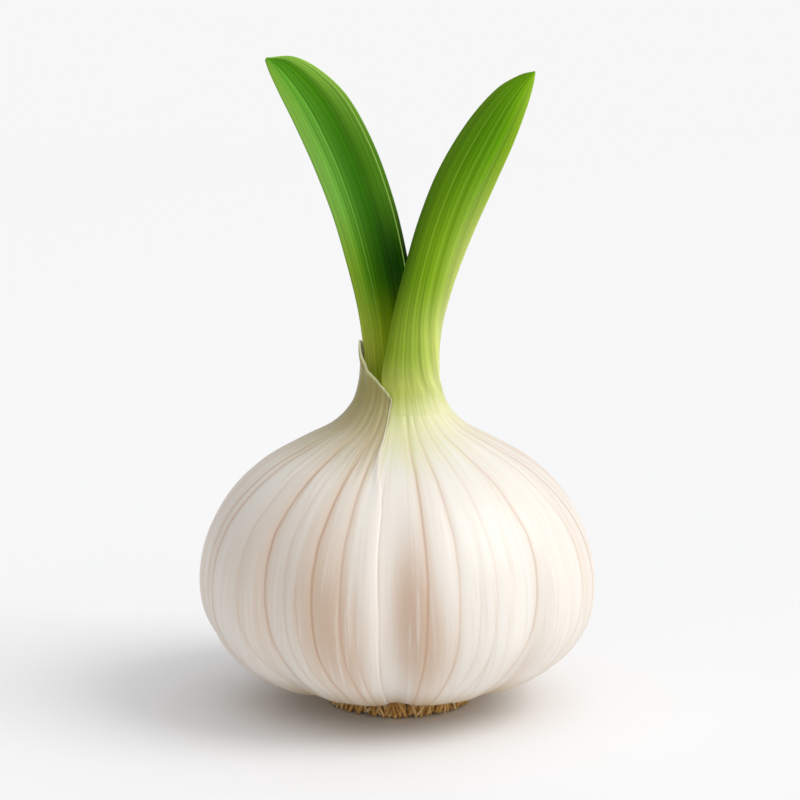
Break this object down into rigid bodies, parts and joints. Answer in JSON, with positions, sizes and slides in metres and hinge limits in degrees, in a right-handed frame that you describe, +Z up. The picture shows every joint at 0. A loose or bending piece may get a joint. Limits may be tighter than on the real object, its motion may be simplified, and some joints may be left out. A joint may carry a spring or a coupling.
{
  "type": "garlic bulb",
  "caption": "Plump whole garlic bulb with papery skin, short trimmed roots and green strap leaves sprouting from the neck; stands upright on its flat root plate.",
  "frame": {"origin": "middle of the flat underside of the root plate, on the surface that the bulb stands on", "axes": "+Z up through the neck between the leaves, +X towards the tip of the right leaf, -Y out of the front of the bulb, where the seam of the papery skin runs down"},
  "size_m": [0.06, 0.0598, 0.0979],
  "materials": {
    "bulb_skin": "satin",
    "papery_skin": "satin",
    "dark_leaf": "satin",
    "young_leaf": "satin",
    "root_plate": "matte",
    "roots": "matte"
  },
  "bodies": {
    "root": {"bulb": "bulb_skin", "outer_skin": "papery_skin", "left_leaf": "dark_leaf", "right_leaf": "young_leaf", "root_plate": "root_plate", "root_01": "roots", "root_02": "roots", "root_03": "roots", "root_04": "roots", "root_05": "roots", "root_06": "roots", "root_07": "roots", "root_08": "roots", "root_09": "roots", "root_10": "roots", "root_11": "roots", "root_12": "roots", "root_13": "roots", "root_14": "roots", "root_15": "roots", "root_16": "roots", "root_17": "roots", "root_18": "roots", "root_19": "roots", "root_20": "roots", "root_21": "roots", "root_22": "roots", "root_23": "roots", "root_24": "roots", "root_25": "roots", "root_26": "roots", "root_27": "roots", "root_28": "roots", "root_29": "roots", "root_30": "roots", "root_31": "roots", "root_32": "roots", "root_33": "roots", "root_34": "roots", "root_35": "roots", "root_36": "roots", "root_37": "roots", "root_38": "roots", "root_39": "roots", "root_40": "roots", "root_41": "roots", "root_42": "roots", "root_43": "roots", "root_44": "roots"}
  },
  "joints": []
}
